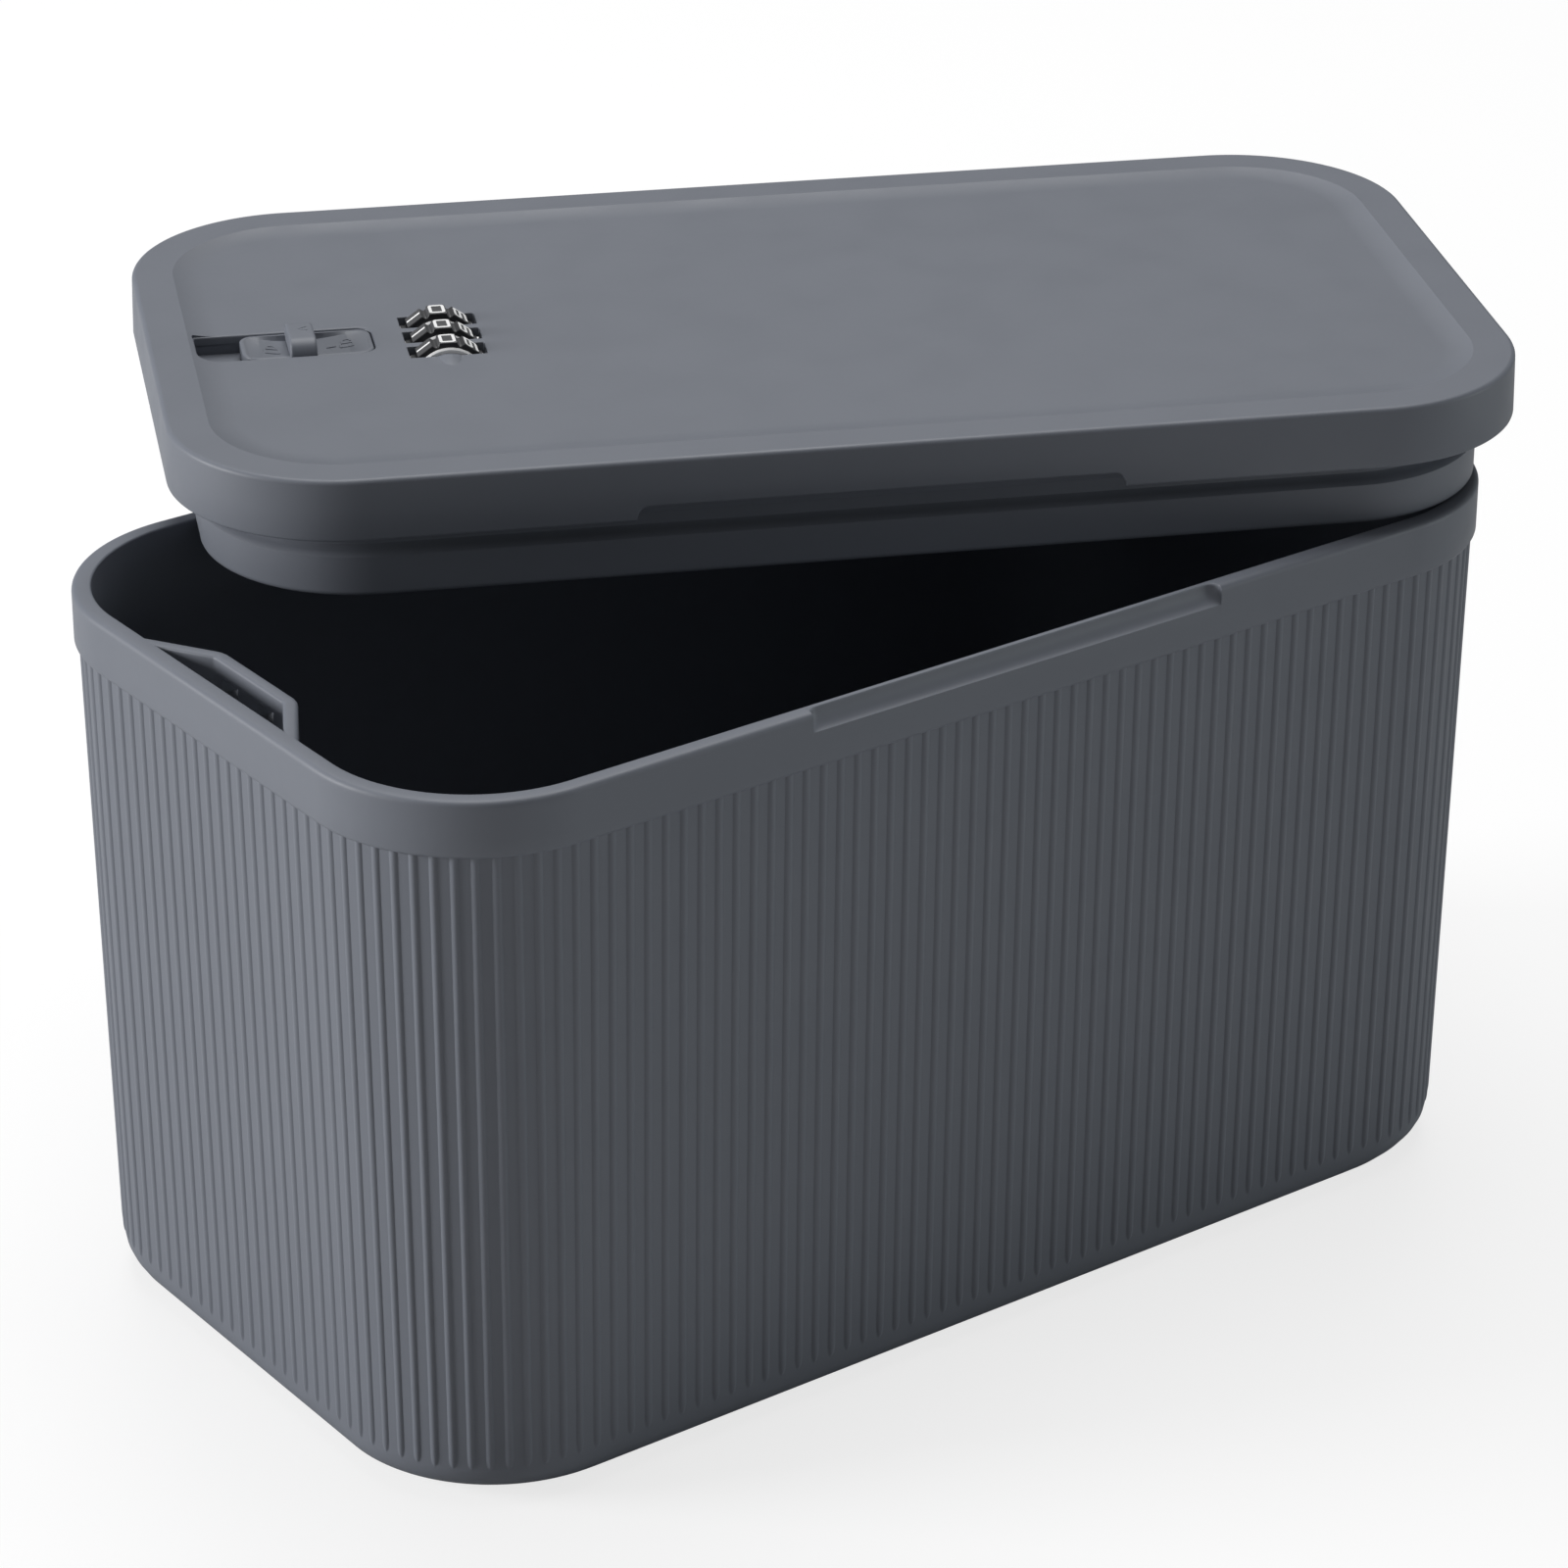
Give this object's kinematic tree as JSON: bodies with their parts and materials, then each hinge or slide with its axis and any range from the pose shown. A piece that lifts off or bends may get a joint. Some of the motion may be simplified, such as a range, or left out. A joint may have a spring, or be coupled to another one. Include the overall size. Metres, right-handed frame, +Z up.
{
  "type": "combination lock medication box",
  "caption": "Ribbed storage box with a lift-off lid that stands turned on the rim, a sliding latch with end prongs, and number dials that block it until the code is set.",
  "frame": {"origin": "middle of the bin's flat underside, where it rests on a table", "axes": "+X along the bin's long side, towards the end away from the lock; +Y across it, towards the side that the lid overhangs; +Z up"},
  "size_m": [0.3568, 0.2624, 0.2075],
  "materials": {
    "box_plastic": "satin, moulded, slate grey",
    "dial_plastic": "satin, charcoal, white digits",
    "white_plastic": "satin white",
    "inner_plastic": "plain moulded, dark grey",
    "steel": "plain bright steel"
  },
  "bodies": {
    "bin": {"bin": "box_plastic"},
    "lid": {"lid": "box_plastic", "lock_chassis": "inner_plastic", "chassis_screw_1": "steel", "chassis_screw_2": "steel", "chassis_screw_3": "steel", "chassis_screw_4": "steel", "dial_spindle": "steel", "spindle_clip_front": "steel", "spindle_clip_rear": "steel", "sleeve_spring": "steel", "index_spring": "steel", "index_spring_screw_1": "steel", "index_spring_screw_2": "steel", "click_spring": "steel", "lock_cover": "box_plastic", "cover_screw_1": "steel", "cover_screw_2": "steel", "cover_screw_3": "steel", "cover_screw_4": "steel"},
    "latch": {"latch_slider": "box_plastic", "latch_bolt": "steel", "bolt_screw_1": "steel", "bolt_screw_2": "steel"},
    "front_dial": {"dial_front": "dial_plastic", "code_sleeve_front": "white_plastic"},
    "middle_dial": {"dial_middle": "dial_plastic", "code_sleeve_middle": "white_plastic"},
    "rear_dial": {"dial_rear": "dial_plastic", "code_sleeve_rear": "white_plastic"},
    "reset": {"reset_lever": "dial_plastic"}
  },
  "joints": [
    {"name": "lid_lift", "type": "slide", "parent": "bin", "child": "lid", "axis": [0, 0, 1], "range_m": [0, 0.15]},
    {"name": "latch_slide", "type": "slide", "parent": "lid", "child": "latch", "axis": [-0.9015, 0.4329, 0], "range_m": [0, 0.01]},
    {"name": "front_dial_turn", "type": "hinge", "parent": "lid", "child": "front_dial", "pos_m": [-0.04247, 0.07922, 0.1976], "axis": [0.4329, 0.9015, 0], "continuous": true},
    {"name": "middle_dial_turn", "type": "hinge", "parent": "lid", "child": "middle_dial", "pos_m": [-0.04247, 0.07922, 0.1976], "axis": [0.4329, 0.9015, 0], "continuous": true},
    {"name": "rear_dial_turn", "type": "hinge", "parent": "lid", "child": "rear_dial", "pos_m": [-0.04247, 0.07922, 0.1976], "axis": [0.4329, 0.9015, 0], "continuous": true},
    {"name": "reset_slide", "type": "slide", "parent": "lid", "child": "reset", "axis": [0.4329, 0.9015, 0], "range_m": [0, 0.003]}
  ]
}
